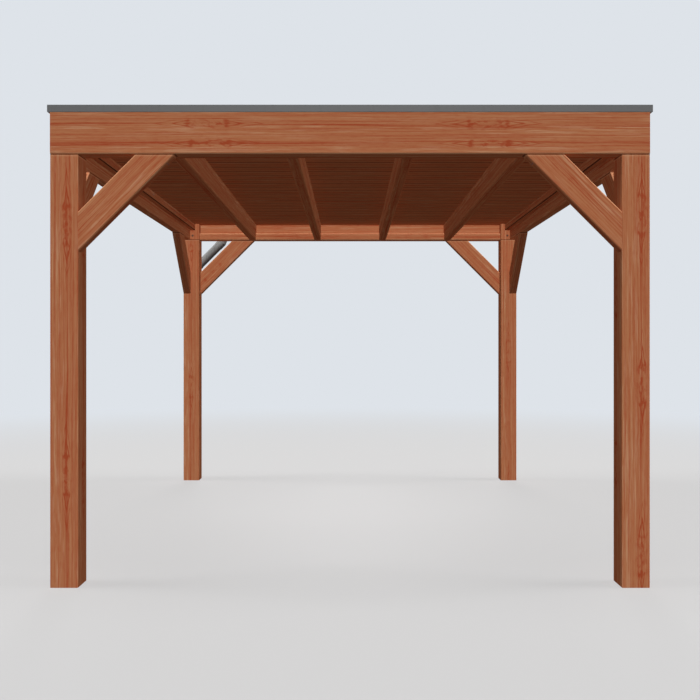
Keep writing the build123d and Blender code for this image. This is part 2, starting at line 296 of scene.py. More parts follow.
    # arrises worn and lit by a painted highlight, arrises darkened by painted shade, and the open ends of the
    # fibres
    half = splitXyz(g, put["Half Size"])
    inset = [calc(g, "SUBTRACT", size, calc(g, "ABSOLUTE", place))
             for size, place in zip(half[1:], (wide, deep))]
    edge = smooth(g, calc(g, "ADD", *inset), timber["arris"] * 1.2, timber["arris"] * 1.02)
    forward, upward = splitXyz(g, put["Facing"])[1:]
    # arrises that face up, or forward and down, are made lighter: partly wear, partly a painted highlight
    rubbedAndLitArris = calc(g, "MULTIPLY", smooth(g, forward, -0.55, -0.68), smooth(g, upward, -0.55, -0.68))
    rubbedAndLitArris = calc(g, "MAXIMUM", rubbedAndLitArris, smooth(g, upward, 0.1, 0.6, 0.0, 0.55))
    # arrises in corners and the grooves between the boards get painted shade
    arrisShadeMask = calc(g, "MULTIPLY", edge, put["Grime"])
    wearAndPaintedLight = calc(g, "MULTIPLY", calc(g, "SUBTRACT", edge, arrisShadeMask), rubbedAndLitArris)
    cutEnd = smooth(g, calc(g, "ABSOLUTE", vec(g, "DOT_PRODUCT", put["Facing"], put["Run"])), 0.75, 0.95)
    # a painted shadow line where an end butts against the beam above, and a painted highlight on the edge
    # below it
    below = calc(g, "SUBTRACT", put["Joint"], splitXyz(g, put["Position"])[2])
    jointShadow = bell(g, below, *timber["jointShadowLine"])
    wearAndPaintedLight = calc(g, "MAXIMUM", wearAndPaintedLight, bell(g, below, *timber["jointHighlight"]))
    # the ends of the rafters, where they sit against the ledgers, get painted shade
    for mask, shade in ((wearAndPaintedLight, "wearAndPaintedLight"), (calc(g, "MAXIMUM", arrisShadeMask, jointShadow), "paintedShade"),
                        (calc(g, "MULTIPLY", cutEnd, 0.6), "endGrain"),
                        (calc(g, "MULTIPLY", cutEnd, put["Shaded Ends"]), "paintedShade")):
        colour = blendColour(g, mask, colour, timber[shade])
    feed(g, out["Colour"], colour)
    coarse = calc(g, "ADD", calc(g, "MULTIPLY", fibre, 0.18), calc(g, "MULTIPLY", cutEnd, 0.12))
    feed(g, out["Roughness"], calc(g, "ADD", 0.62, coarse))
    relief = calc(g, "ADD", calc(g, "MULTIPLY", lines, 0.25), calc(g, "MULTIPLY", fibre, 0.65))
    feed(g, out["Height"], calc(g, "ADD", relief, calc(g, "MULTIPLY", arrows, 0.2)))
    return g


timberFigure = buildTimberFigure()


# dust on what faces up, runs down what stands, a fine speckle, and painted shade on what faces down, for
# metal, rubber and plastic
def buildWeatheringAndShade():
    g, put, out = newGroup("weatheringAndShade", [
        ("Position", "Vector", (0, 0, 0)), ("Facing", "Vector", (0, 0, 1)), ("Seed", "Float", 0.0),
        ("Patch Scale", "Float", 3.0), ("Speckle Scale", "Float", 400.0),
    ], [("Dust", "Float"), ("Runs", "Float"), ("UndersideShade", "Float"), ("Speckle", "Float")])
    shifted = vec(g, "ADD", put["Position"], joinXyz(g, put["Seed"], put["Seed"], put["Seed"]))
    upward = splitXyz(g, put["Facing"])[2]
    patches = noise(g, shifted, put["Patch Scale"], 7.0, 0.68)
    speckle = noise(g, shifted, put["Speckle Scale"], 2.0, 0.6)
    dust = calc(g, "MULTIPLY", smooth(g, upward, 0.35, 0.95), smooth(g, patches, 0.44, 0.66))
    runs = noise(g, vec(g, "MULTIPLY", shifted, (60.0, 60.0, 2.5)), 1.0, 3.0, 0.6)
    standing = smooth(g, calc(g, "ABSOLUTE", upward), 0.6, 0.2)
    feed(g, out["Dust"], dust)
    feed(g, out["Runs"], calc(g, "MULTIPLY", standing, smooth(g, runs, 0.50, 0.75)))
    # faces that look down: painted shade, used on the pipes
    feed(g, out["UndersideShade"], smooth(g, upward, -0.05, -0.68))
    feed(g, out["Speckle"], speckle)
    return g


weatheringAndShade = buildWeatheringAndShade()
print("node groups built")


def surfaceInputs(tree):
    where = tree.nodes.new("ShaderNodeTexCoord").outputs["Object"]
    facing = tree.nodes.new("ShaderNodeNewGeometry").outputs["True Normal"]
    return where, facing


# middle and half size of a node along its own grain
def grainBox(name, run, across):
    deep = Vector(run).cross(Vector(across))
    axes = (Vector(run), Vector(across), deep)
    spans = [[axis.dot(v.co) for v in nodes[name].data.vertices] for axis in axes]
    middle = sum((axis * ((min(s) + max(s)) / 2) for axis, s in zip(axes, spans)), Vector())
    return middle, Vector([(max(s) - min(s)) / 2 for s in spans])


def finishTimber(tree, shader, figure):
    feed(tree, shader.inputs["Base Color"], figure["Colour"])
    feed(tree, shader.inputs["Roughness"], figure["Roughness"])
    feed(tree, shader.inputs["Normal"], bump(tree, figure["Height"], 0.35, 0.0012))
    shader.inputs["Specular IOR Level"].default_value = 0.0


# each timber is cut from its own place in the log; the front ones have their whorls where they show
beamHeart = {"place": -0.059, "pitch": 0.10}
whorls = {                                      # place along the timber, pitch, and where the heart lies
    "front_beam": (0.70, 1.40, beamHeart["place"]),
    "front_left_post": (0.564, 1.25, 0.014),
    "front_right_post": (1.014, 0.85, 0.030),
}
# painted shade on the arrises that lie in a corner under the roof
shadedArrisShare = {"front_ledger": 0.4, "left_ledger": 0.9, "right_ledger": 0.9}


def timberMaterial(name, run, across, seed):
    draw = random.Random(timber["seed"] * 1000 + seed)
    middle, half = grainBox(name, run, across)
    material, tree, shader = newMaterial("stained_" + name)
    where, facing = surfaceInputs(tree)
    pitch = draw.uniform(0.85, 1.35)
    beam, post = name.endswith("_beam"), name.endswith("_post")
    heart = beamHeart["place"] if beam else draw.uniform(-0.12, 0.12) * half.z
    place, pitch, heart = whorls.get(name, (draw.uniform(0, pitch), pitch, heart))
    strength = 1.0
    if name not in whorls:
        strength = draw.uniform(0.15, 0.55) + (0.25 if post else 0.0)
    butts = post or name.endswith("_brace")
    # the rafters' ends take painted shade
    figure = placeGroup(
        tree, timberFigure, Position=where, Facing=facing, Centre=middle, Run=run, Across=across,
        Heart=heart, Seed=draw.uniform(0, 40), Joint=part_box("front_beam")[0].z if butts else -1.0,
        Whorl=place - middle.dot(Vector(run)), Figure=strength, Grime=shadedArrisShare.get(name, 0.0), **{
            "Half Size": half, "Heart Pitch": beamHeart["pitch"] if beam else 0.40, "Whorl Pitch": pitch,
            "Shaded Ends": 1.0 if name.startswith("rafter_") else 0.0})
    finishTimber(tree, shader, figure)
    return material


def dress(name, material):
    mesh = nodes[name].data
    mesh.materials.clear()
    mesh.materials.append(material)


# which way the grain of each timber runs
slope = math.sqrt(0.5)
grain = {
    "front_left_brace": ((slope, 0, slope), (0, 1, 0)),
    "rear_left_brace": ((slope, 0, slope), (0, 1, 0)),
    "front_right_brace": ((-slope, 0, slope), (0, 1, 0)),
    "rear_right_brace": ((-slope, 0, slope), (0, 1, 0)),
    "left_front_brace": ((0, slope, slope), (1, 0, 0)),
    "right_front_brace": ((0, slope, slope), (1, 0, 0)),
    "left_rear_brace": ((0, -slope, slope), (1, 0, 0)),
    "right_rear_brace": ((0, -slope, slope), (1, 0, 0)),
}
for name in nodes:
    if name.endswith("_post"):
        grain[name] = ((0, 0, 1), (1, 0, 0))
    elif name.startswith("rafter_") or name in ("left_beam", "right_beam", "left_ledger", "right_ledger"):
        grain[name] = ((0, 1, 0), (1, 0, 0))
    elif name.endswith(("_beam", "_ledger")):
        grain[name] = ((1, 0, 0), (0, 1, 0))
for number, name in enumerate(sorted(grain)):
    dress(name, timberMaterial(name, *grain[name], number))
print("timbers dressed:", len(grain))

# the boards of the deck, each with its own grain
# the grooves between the boards get painted shade
boards = {"count": 26, "seedStep": 2.37, "shiftStep": 2.1, "shift": 0.5, "paintedShade": 0.8, "figure": 0.3}


def boardMaterial():
    material, tree, shader = newMaterial("stained_boards")
    where, facing = surfaceInputs(tree)
    low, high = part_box("roof_deck")
    pitch = (high.y - low.y) / boards["count"]
    place = calc(tree, "DIVIDE", calc(tree, "SUBTRACT", splitXyz(tree, where)[1], low.y), pitch)
    number = calc(tree, "FLOOR", place)
    middle = calc(tree, "ADD", low.y, calc(tree, "MULTIPLY", calc(tree, "ADD", number, 0.5), pitch))
    swing = calc(tree, "SINE", calc(tree, "MULTIPLY", number, boards["shiftStep"]))
    shift = calc(tree, "MULTIPLY", swing, boards["shift"])
    figure = placeGroup(
        tree, timberFigure, Position=where, Facing=facing, Run=(1, 0, 0), Across=(0, 1, 0),
        Centre=joinXyz(tree, 0.0, middle, (low.z + high.z) / 2), Whorl=shift,
        Grime=boards["paintedShade"], Figure=boards["figure"],
        Seed=calc(tree, "MULTIPLY", number, boards["seedStep"]),
        **{"Half Size": (high.x, pitch / 2, (high.z - low.z) / 2)})
    finishTimber(tree, shader, figure)
    return material


dress("roof_deck", boardMaterial())
print("roof boards dressed")


# metal, rubber and plastic: a plain colour with speckle, runs and dust over it, and painted shade underneath
# where a finish gives one
def coatedMaterial(name, finish):
    material, tree, shader = newMaterial(name)
    where, facing = surfaceInputs(tree)
    wearAndPaintedLight = placeGroup(tree, weatheringAndShade, Position=where, Facing=facing, Seed=finish["seed"],
                      **{"Patch Scale": 2.6, "Speckle Scale": finish["speckleScale"]})
    tone = calc(tree, "ADD", 0.92, calc(tree, "MULTIPLY", wearAndPaintedLight["Speckle"], 0.16))
    colour = tint(tree, finish["base"], tone)
    runs = calc(tree, "MULTIPLY", wearAndPaintedLight["Runs"], finish["runShare"])
    colour = blendColour(tree, runs, colour, finish["run"])
    if "undersideShade" in finish:
        colour = blendColour(tree, wearAndPaintedLight["UndersideShade"], colour, finish["undersideShade"])
    dust = calc(tree, "MULTIPLY", wearAndPaintedLight["Dust"], finish["dustShare"])
    colour = blendColour(tree, dust, colour, finish["dust"])
    feed(tree, shader.inputs["Base Color"], colour)
    spread = calc(tree, "ADD", calc(tree, "MULTIPLY", wearAndPaintedLight["Speckle"], 0.16),
                  calc(tree, "MULTIPLY", wearAndPaintedLight["Dust"], 0.2))
    feed(tree, shader.inputs["Roughness"], calc(tree, "ADD", finish["rough"], spread))
    feed(tree, shader.inputs["Normal"], bump(tree, wearAndPaintedLight["Speckle"], 0.12, 0.0004))
    shader.inputs["Metallic"].default_value = finish["metallic"]
    shader.inputs["Specular IOR Level"].default_value = 0.3
    return material


# dulled aluminium edge trim
trimFinish = {
    "base": paint(82, 82, 82), "dust": paint(128, 125, 119), "run": paint(78, 78, 77),
    "metallic": 0.25, "rough": 0.48, "runShare": 0.5, "dustShare": 0.6, "speckleScale": 500.0, "seed": 3.0,
}
trimMaterial = coatedMaterial("dull_aluminium", trimFinish)
for name in nodes:
    if name.endswith("_trim"):
        dress(name, trimMaterial)

# grey plastic rainwater goods, with painted shade underneath
pipeFinish = {
    "base": paint(116, 119, 119), "dust": paint(140, 137, 130), "run": paint(86, 88, 88),
    "undersideShade": paint(34, 35, 35),
    "metallic": 0.0, "rough": 0.42, "runShare": 0.55, "dustShare": 0.5, "speckleScale": 700.0, "seed": 11.0,
}
pipeMaterial = coatedMaterial("grey_plastic", pipeFinish)
for name in ("downpipe", "offset_pipe", "upper_elbow", "lower_elbow", "roof_outlet"):
    dress(name, pipeMaterial)

# galvanised clips
clipFinish = {
    "base": paint(138, 141, 142), "dust": paint(140, 137, 130), "run": paint(104, 102, 98),
    "metallic": 0.75, "rough": 0.40, "runShare": 0.5, "dustShare": 0.4, "speckleScale": 160.0, "seed": 17.0,
}
clipMaterial = coatedMaterial("galvanised_steel", clipFinish)
clipNames = ("pipe_clip_1", "pipe_clip_2", "pipe_clip_3")
for name in clipNames:
    dress(name, clipMaterial)

# blackened bolts and screws, browned by the stain
fixingFinish = {
    "base": paint(86, 53, 38), "dust": paint(96, 84, 74), "run": paint(66, 45, 33),
    "metallic": 0.35, "rough": 0.46, "runShare": 0.5, "dustShare": 0.5, "speckleScale": 900.0, "seed": 23.0,
}
fixingMaterial = coatedMaterial("blackened_steel", fixingFinish)

# dusty rubber on the roof
rubberFinish = {
    "base": paint(50, 51, 53), "dust": paint(104, 101, 95), "run": paint(70, 70, 69),
    "metallic": 0.0, "rough": 0.50, "runShare": 0.35, "dustShare": 0.42, "speckleScale": 260.0, "seed": 29.0,
}
rubberMaterial = coatedMaterial("roof_rubber", rubberFinish)
dress("roof_membrane", rubberMaterial)
print("metal, rubber and plastic dressed")


# a mesh in the frame's own metres becomes a piece that rides with the frame
def addPiece(name, bm, material, stands=(), crease=35.0):
    bmesh.ops.recalc_face_normals(bm, faces=bm.faces)
    mesh = bpy.data.meshes.new(name)
    bm.to_mesh(mesh)
    bm.free()
    mesh.shade_smooth()
    mesh.set_sharp_from_angle(angle=math.radians(crease))
    mesh.materials.append(material)
    piece = bpy.data.objects.new(name, mesh)
    scene.collection.objects.link(piece)
    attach(piece, "root")
    if stands:
        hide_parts(*stands)
    return piece


# faces between rings of points; a ring of one point makes a tip
def joinRings(bm, rings):
    for first, second in zip(rings, rings[1:]):
        sides = max(len(first), len(second))
        for step in range(sides):
            after = (step + 1) % sides
            corners = [first[step % len(first)], first[after % len(first)],
                       second[after % len(second)], second[step % len(second)]]
            bm.faces.new(list(dict.fromkeys(corners)))


# a turned shape: radius and height pairs spun about the way it points
def lathe(bm, sides, profile, place, outward):
    turn = Vector(outward).to_track_quat("Z", "Y").to_matrix().to_4x4()
    matrix = Matrix.Translation(place) @ turn
    rings = []
    for radius, height in profile:
        steps = sides if radius else 1
        angles = [2 * math.pi * (step + 0.5) / sides for step in range(steps)]
        ring = [Vector((radius * math.cos(a), radius * math.sin(a), height)) for a in angles]
        rings.append([bm.verts.new(matrix @ point) for point in ring])
    joinRings(bm, rings)


# rubber sheet: dressed over the deck, up the beams and over their tops
sheet = {
    "cell": 0.020, "cove": 0.012, "lip": 0.0035, "thickness": 0.0014,
    "standOff": 0.0015,                         # its top over the boards
    "topRound": ((-0.0010, 0.0006), (0.0006, 0.0022), (0.0013, 0.006)),     # inward, and down
    "upstandFace": 0.0014,
    "swell": 0.0035, "swellScale": 1.4, "swellBase": 0.35,
    "wrinkles": 26, "wrinkleHeight": 0.0060, "wrinkleWidth": 0.024, "wrinkleBend": 0.018,
    "flatRim": 0.03, "rimFade": 0.14,           # no slack beside the upstands
    "patch": (0.19, 0.24), "patchRise": 0.0012, "spoutHalf": 0.0523, "spoutTop": 0.040, "spoutSill": 0.005,
    "seed": 41,
}


def layRoofSheet():
    draw = random.Random(sheet["seed"])
    low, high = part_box("roof_membrane")
    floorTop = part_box("roof_deck")[1].z + sheet["standOff"]
    rise = high.z - floorTop
    inner = {"x": (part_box("left_beam")[1].x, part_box("right_beam")[0].x),
             "y": (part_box("front_beam")[1].y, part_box("rear_beam")[0].y)}
    outer = {"x": (low.x, high.x), "y": (low.y, high.y)}
    # inward distance from the beam's inner face, and height over the roof, from the beam top to the cove
    cove = [(sheet["standOff"] + sheet["cove"] * (1 - math.cos(t)), sheet["cove"] * (1 - math.sin(t)))
            for t in [math.radians(step * 15) for step in range(7)]]
    wall = [(-sheet["lip"], rise)]
    wall += [(inward, rise - drop) for inward, drop in sheet["topRound"]]
    wall += [(sheet["upstandFace"], sheet["spoutTop"])] + cove
    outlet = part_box("roof_outlet")
    outletX = (outlet[0].x + outlet[1].x) / 2
    patchHalf, patchReach = sheet["patch"]

    def stations(axis):
        start, end = inner[axis]
        rows = [(outer[axis][0], rise)] + [(start + d, h) for d, h in wall]
        extra = {"x": [outletX - patchHalf, outletX + patchHalf], "y": [end - patchReach]}[axis]
        cuts = [edge + nudge for edge in extra for nudge in (-0.001, 0.001)]
        if axis == "x":
            cuts += [outletX - sheet["spoutHalf"], outletX + sheet["spoutHalf"]]
        first, last = start + wall[-1][0], end - wall[-1][0]
        count = round((last - first) / sheet["cell"])
        inside = [first + (last - first) * step / count for step in range(1, count)]
        inside = sorted([v for v in inside if all(abs(v - cut) > 0.004 for cut in cuts)] + cuts)
        rows += [(v, 0.0) for v in inside]
        rows += [(end - d, h) for d, h in reversed(wall)] + [(outer[axis][1], rise)]
        return rows

    wrinkles = []
    for number in range(sheet["wrinkles"]):
        angle = draw.choice((0.12, 1.45, 0.8, 2.3)) + draw.uniform(-0.25, 0.25)
        wrinkles.append((draw.uniform(-1.25, 1.25), draw.uniform(-1.55, 1.45), angle,
                         draw.uniform(0.12, 0.34), draw.uniform(0.5, 1.0)))

    def ease(value):
        value = min(max(value, 0.0), 1.0)
        return value * value * (3 - 2 * value)

    # slack in the sheet, never below the boards
    def slack(x, y):
        edge = min(x - inner["x"][0], inner["x"][1] - x, y - inner["y"][0], inner["y"][1] - y)
        fade = ease((edge - sheet["flatRim"]) / sheet["rimFade"])
        spot = Vector((x * sheet["swellScale"], y * sheet["swellScale"], 3.0))
        lift = sheet["swell"] * max(0.0, wave.noise(spot) + sheet["swellBase"])
        for atX, atY, angle, reach, share in wrinkles:
            ahead = (x - atX) * math.cos(angle) + (y - atY) * math.sin(angle)
            aside = (y - atY) * math.cos(angle) - (x - atX) * math.sin(angle)
            aside += sheet["wrinkleBend"] * math.sin(ahead * 9)
            if abs(ahead) < reach and abs(aside) < 0.1:
                ridge = math.exp(-(aside / sheet["wrinkleWidth"]) ** 2) * ease(1 - abs(ahead) / reach)
                lift += sheet["wrinkleHeight"] * share * ridge
        patch = abs(x - outletX) < patchHalf and y > inner["y"][1] - patchReach
        return lift * fade + (sheet["patchRise"] if patch else 0.0)

    columns, rows = stations("x"), stations("y")
    bm = bmesh.new()
    grid = []
    for x, fromX in columns:
        line = []
        for y, fromY in rows:
            height = max(fromX, fromY)
            flat = fromX == 0.0 and fromY == 0.0
            line.append(bm.verts.new((x, y, floorTop + height + (slack(x, y) if flat else 0.0))))
        grid.append(line)
    for column in range(len(columns) - 1):
        for row in range(len(rows) - 1):
            x = (columns[column][0] + columns[column + 1][0]) / 2
            heights = (rows[row][1], rows[row + 1][1])
            inSpout = abs(x - outletX) < sheet["spoutHalf"] and rows[row][0] > 0
            if inSpout and min(heights) >= sheet["spoutSill"] and max(heights) <= sheet["spoutTop"]:
                continue                                        # the way into the outlet stays open
            bm.faces.new([grid[column][row], grid[column + 1][row],
                          grid[column + 1][row + 1], grid[column][row + 1]])
    piece = addPiece("roof_sheet", bm, rubberMaterial, ("roof_membrane",), 50.0)
    thick = piece.modifiers.new("thickness", "SOLIDIFY")
    thick.thickness = sheet["thickness"]
    thick.offset = -1.0
    return inner, floorTop, rise


roofInner, roofTop, roofRise = layRoofSheet()

# folded corners of the sheet, laid flat against the side upstands
folds = {"reach": 0.078, "thickness": 0.0024, "foot": 0.013, "head": 0.007, "sag": 0.004,
         "offWall": 0.0016, "fromCorner": 0.004}
bm = bmesh.new()
for sideX in (0, 1):
    for sideY in (0, 1):
        inwardX = 1 - 2 * sideX
        inwardY = 1 - 2 * sideY
        face = roofInner["x"][sideX] + inwardX * folds["offWall"]
        corner = roofInner["y"][sideY] + inwardY * folds["fromCorner"]
        top = roofTop + roofRise - folds["head"]
        foot = roofTop + folds["foot"]
        outline = [(0.0, foot), (0.0, top)]
        for step in range(8):                                   # the free edge sags a little
            share = step / 8
            sag = folds["sag"] * math.sin(share * math.pi)
            outline.append((folds["reach"] * (1 - share) + sag, top + (foot - top) * share - sag))
        rings = []
        for x in (face, face + inwardX * folds["thickness"]):
            ring = [bm.verts.new((x, corner + inwardY * along, height)) for along, height in outline]
            bm.faces.new(ring)
            rings.append(ring)
        joinRings(bm, rings)
addPiece("sheet_folds", bm, rubberMaterial, crease=60.0)
print("roof sheet laid")

# leaf guard over the mouth of the outlet
guard = {"bars": 7, "wire": 0.0016, "bow": 0.007, "width": 0.094, "low": 0.0052, "high": 0.0375,
         "sink": 0.0012, "railWire": 1.2, "railPast": 0.004, "railOut": 0.0004}
outletLow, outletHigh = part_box("roof_outlet")
mouth = Vector(((outletLow.x + outletHigh.x) / 2, outletLow.y, roofTop))


def wire(bm, points, radius, sides=8):
    rings = []
    for number, point in enumerate(points):
        ahead = points[min(number + 1, len(points) - 1)] - points[max(number - 1, 0)]
        turn = ahead.to_track_quat("Z", "Y").to_matrix()
        angles = [2 * math.pi * step / sides for step in range(sides)]
        ring = [point + turn @ Vector((math.cos(a), math.sin(a), 0)) * radius for a in angles]
        rings.append([bm.verts.new(spot) for spot in ring])
    joinRings(bm, rings)
    bm.faces.new(rings[0])
    bm.faces.new(rings[-1])


bm = bmesh.new()
for number in range(guard["bars"]):
    aside = (number / (guard["bars"] - 1) - 0.5) * guard["width"]
    points = []
    for step in range(9):
        share = step / 8
        bow = guard["bow"] * math.sin(share * math.pi) ** 0.7
        height = guard["low"] + (guard["high"] - guard["low"]) * share
        points.append(mouth + Vector((aside, guard["sink"] - bow, height)))
    wire(bm, points, guard["wire"])
railHalf = guard["width"] / 2 + guard["railPast"]
for height in (guard["low"], guard["high"]):
    ends = [mouth + Vector((side * railHalf, -guard["railOut"], height)) for side in (-1, 1)]
    wire(bm, ends, guard["wire"] * guard["railWire"])
addPiece("leaf_guard", bm, clipMaterial)

# fixings: turned heads with a recess, as the number of sides, then radius and height pairs
heads = {
    "pan": (12, [(0.0, 0.0012), (0.0016, 0.0012), (0.0019, 0.0026), (0.0032, 0.0024), (0.0041, 0.0014),
                 (0.0043, 0.0)]),
    "sunk": (14, [(0.0, -0.0006), (0.0018, -0.0006), (0.0022, 0.0008), (0.0048, 0.0006), (0.0054, 0.0)]),
    "hex": (6, [(0.0, 0.0052), (0.0046, 0.0052), (0.0060, 0.0044), (0.0060, 0.0)]),
    "washer": (20, [(0.0, 0.0016), (0.0092, 0.0016), (0.0098, 0.0011), (0.0100, 0.0)]),
}


# even places along a piece, from one end to the other
def setOut(low, high, fromEnd, pitch):
    start, end = low + fromEnd, high - fromEnd
    count = round((end - start) / pitch)
    return [start + (end - start) * step / count for step in range(count + 1)]


# screws through the top of the trim and the flange of the outlet
trimScrews = {"pitch": 0.42, "fromEdge": 0.030, "fromCorner": 0.11, "trimMetal": 0.0025}
bm = bmesh.new()
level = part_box("roof_membrane")[1].z + trimScrews["trimMetal"]
for name, along in (("front_trim", 0), ("rear_trim", 0), ("left_trim", 1), ("right_trim", 1)):
    low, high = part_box(name)
    beamLow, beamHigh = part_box(name.replace("trim", "beam"))
    near = name in ("front_trim", "left_trim")
    fromEdge = trimScrews["fromEdge"]
    aside = beamLow[1 - along] + fromEdge if near else beamHigh[1 - along] - fromEdge
    for place in setOut(low[along], high[along], trimScrews["fromCorner"], trimScrews["pitch"]):
        spot = (aside, place, level) if along else (place, aside, level)
        lathe(bm, *heads["pan"], spot, (0, 0, 1))
flange = {"inset": 0.013, "low": 0.013, "high": 0.040}
for x in (outletLow.x + flange["inset"], outletHigh.x - flange["inset"]):
    for height in (flange["low"], flange["high"]):
        lathe(bm, *heads["pan"], (x, outletLow.y, roofTop + height), (0, -1, 0))
addPiece("roof_screws", bm, clipMaterial)

# bolts through the post heads into the front and rear beams
headBolts = {"fromOuter": 0.0815, "height": 0.035}
hexSides, hexProfile = heads["hex"]
washerTop = heads["washer"][1][0][1]
bm = bmesh.new()
for name in ("front_left_post", "front_right_post", "rear_left_post", "rear_right_post"):
    low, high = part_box(name)
    front = name.startswith("front")
    x = low.x + headBolts["fromOuter"] if "left" in name else high.x - headBolts["fromOuter"]
    facing = (0, 1, 0) if front else (0, -1, 0)
    spot = (x, high.y if front else low.y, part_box("front_beam")[0].z + headBolts["height"])
    lathe(bm, *heads["washer"], spot, facing)
    lathe(bm, hexSides, [(radius, height + washerTop) for radius, height in hexProfile], spot, facing)
addPiece("head_bolts", bm, fixingMaterial)

# screws up through the lower faces of the braces
braceScrews = {"fromEnd": 0.062, "apart": 0.030}
bm = bmesh.new()
for name in grain:
    if not name.endswith("_brace"):
        continue
    low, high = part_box(name)
    run = Vector(grain[name][0])
    across = Vector(grain[name][1])
    level = Vector((run.x, run.y, 0)).normalized()
    foot = Vector((low.x if run.x >= 0 else high.x, low.y if run.y >= 0 else high.y, low.z))
    foot += across * (across.dot((low + high) / 2) - across.dot(foot))
    length = (high.z - low.z) * math.sqrt(2)
    for along in (braceScrews["fromEnd"], length - braceScrews["fromEnd"]):
        for side in (-0.5, 0.5):
            spot = foot + run * along + across * (side * braceScrews["apart"])
            lathe(bm, *heads["sunk"], spot, (level - Vector((0, 0, 1))).normalized())
addPiece("brace_screws", bm, fixingMaterial)

# screws through the ledgers into the beams
ledgerScrews = {"pitch": 0.40, "fromEnd": 0.16, "fromTop": 0.029}
bm = bmesh.new()
for name, along, facing in (("front_ledger", 0, (0, 1, 0)), ("left_ledger", 1, (1, 0, 0)),
                            ("right_ledger", 1, (-1, 0, 0))):
    low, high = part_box(name)
    aside = high[1 - along] if sum(facing) > 0 else low[1 - along]
    level = high.z - ledgerScrews["fromTop"]
    for place in setOut(low[along], high[along], ledgerScrews["fromEnd"], ledgerScrews["pitch"]):
        spot = (aside, place, level) if along else (place, aside, level)
        lathe(bm, *heads["sunk"], spot, facing)
addPiece("ledger_screws", bm, fixingMaterial)

# elbows: a socket with a rolled lip at each end, and a mitred piece between them with its two seams
elbows = {"leg": 0.066, "radius": 0.075, "socket": 0.0406, "body": 0.0391, "bore": 0.0377, "lip": 0.005,
          "depth": 0.037, "seam": 0.0007, "sides": 56}


def elbowPiece(name, corner, into, leave):
    size = elbows
    upright = into.cross(leave).normalized()
    middle = (into + leave).normalized()
    mitre = size["radius"] * (math.tan(math.pi / 8) - math.tan(math.pi / 16))
    lip, depth = size["lip"], size["depth"]
    # along a socket from its mouth: distance, and what the radius loses there
    socket = [(0.0, 0.0012), (0.0006, 0.0003), (0.0018, 0.0), (lip - 0.001, 0.0), (lip + 0.0005, 0.0007),
              (depth - 0.005, 0.0007), (depth - 0.002, 0.0010), (depth, size["socket"] - size["body"])]
    rows = [(corner - into * (size["leg"] - far), into, size["socket"] - loss, 1.0) for far, loss in socket]
    bends = ((corner - into * mitre, into, middle), (corner + leave * mitre, middle, leave))
    for place, before, after in bends:
        seam = (before + after).normalized()
        for far, rise in ((-0.0032, 0.0), (-0.0022, size["seam"]), (0.0022, size["seam"]), (0.0032, 0.0)):
            spot = place + (before if far < 0 else after) * far
            rows.append((spot, seam, size["body"] + rise, 1 / before.dot(seam)))
    rows += [(corner + leave * (size["leg"] - far), leave, size["socket"] - loss, 1.0)
             for far, loss in reversed(socket)]
    rows += [(spot, way, size["bore"], stretch) for spot, way, radius, stretch in reversed(rows)]
    bm = bmesh.new()
    rings = []
    angles = [2 * math.pi * step / size["sides"] for step in range(size["sides"])]
    for spot, way, radius, stretch in rows:
        flat = way.cross(upright) * stretch
        ring = [spot + (flat * math.cos(a) + upright * math.sin(a)) * radius for a in angles]
        rings.append([bm.verts.new(point) for point in ring])
    joinRings(bm, rings + rings[:1])
    addPiece(name + "_sockets", bm, pipeMaterial, (name,), 15.0)


down = Vector((0, 0, -1))
slant = Vector((-1, 0, -1)).normalized()
pipeLow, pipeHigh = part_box("downpipe")
pipeX, pipeY = (pipeLow.x + pipeHigh.x) / 2, (pipeLow.y + pipeHigh.y) / 2
elbowPiece("upper_elbow", Vector((mouth.x, pipeY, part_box("upper_elbow")[1].z - elbows["leg"])), down, slant)
elbowPiece("lower_elbow", Vector((pipeX, pipeY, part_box("lower_elbow")[0].z + elbows["leg"])), slant, down)


# a block with eased edges
def slab(bm, centre, size, ease):
    matrix = Matrix.Translation(centre) @ Matrix.Diagonal((*size, 1))
    made = bmesh.ops.create_cube(bm, size=1.0, matrix=matrix)
    edges = list(dict.fromkeys(edge for vert in made["verts"] for edge in vert.link_edges))
    bmesh.ops.bevel(bm, geom=edges, offset=ease, segments=2, profile=0.5, affect="EDGES")


# lugs that close the clips round the pipe, with their screws and those into the post
lugs = {"reach": 0.014, "sink": 0.002, "metal": 0.0026, "gap": 0.0008, "height": 0.021, "ease": 0.0007,
        "screwOut": 0.0018, "plate": 0.003, "spread": 0.0245}
bm = bmesh.new()
screws = bmesh.new()
for name in clipNames:
    low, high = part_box(name)
    centre = (low + high) / 2
    for side in (-1, 1):
        edge = low.x + lugs["sink"] if side < 0 else high.x - lugs["sink"]
        x = edge + side * lugs["reach"] / 2
        for half in (-1, 1):
            y = pipeY + half * (lugs["gap"] + lugs["metal"]) / 2
            slab(bm, (x, y, centre.z), (lugs["reach"], lugs["metal"], lugs["height"]), lugs["ease"])
        outside = lugs["gap"] / 2 + lugs["metal"]
        screwX = x + side * lugs["screwOut"]
        lathe(screws, *heads["pan"], (screwX, pipeY + outside, centre.z), (0, 1, 0))
        lathe(screws, *heads["hex"], (screwX, pipeY - outside, centre.z), (0, -1, 0))
        plateSpot = (centre.x, low.y + lugs["plate"], centre.z + side * lugs["spread"])
        lathe(screws, *heads["pan"], plateSpot, (0, 1, 0))
addPiece("clip_lugs", bm, clipMaterial)
addPiece("clip_screws", screws, fixingMaterial)
print("fixings, elbows and clip lugs set")

# camera: level, on the middle line, at a little under chest height
view = {
    "distance": 4.186,      # from the front faces of the posts
    "height": 1.2076,
    "lens": 43.076,
    "sensor": 36.0,
    "shift": -0.0053,
}
camera = bpy.data.objects.new("camera", bpy.data.cameras.new("camera"))
scene.collection.objects.link(camera)
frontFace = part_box("front_left_post")[0].y
camera.location = (0.0, frontFace - view["distance"], view["height"])
camera.rotation_euler = (math.radians(90), 0, 0)
camera.data.lens = view["lens"]
camera.data.sensor_width = view["sensor"]
camera.data.shift_y = view["shift"]
scene.camera = camera

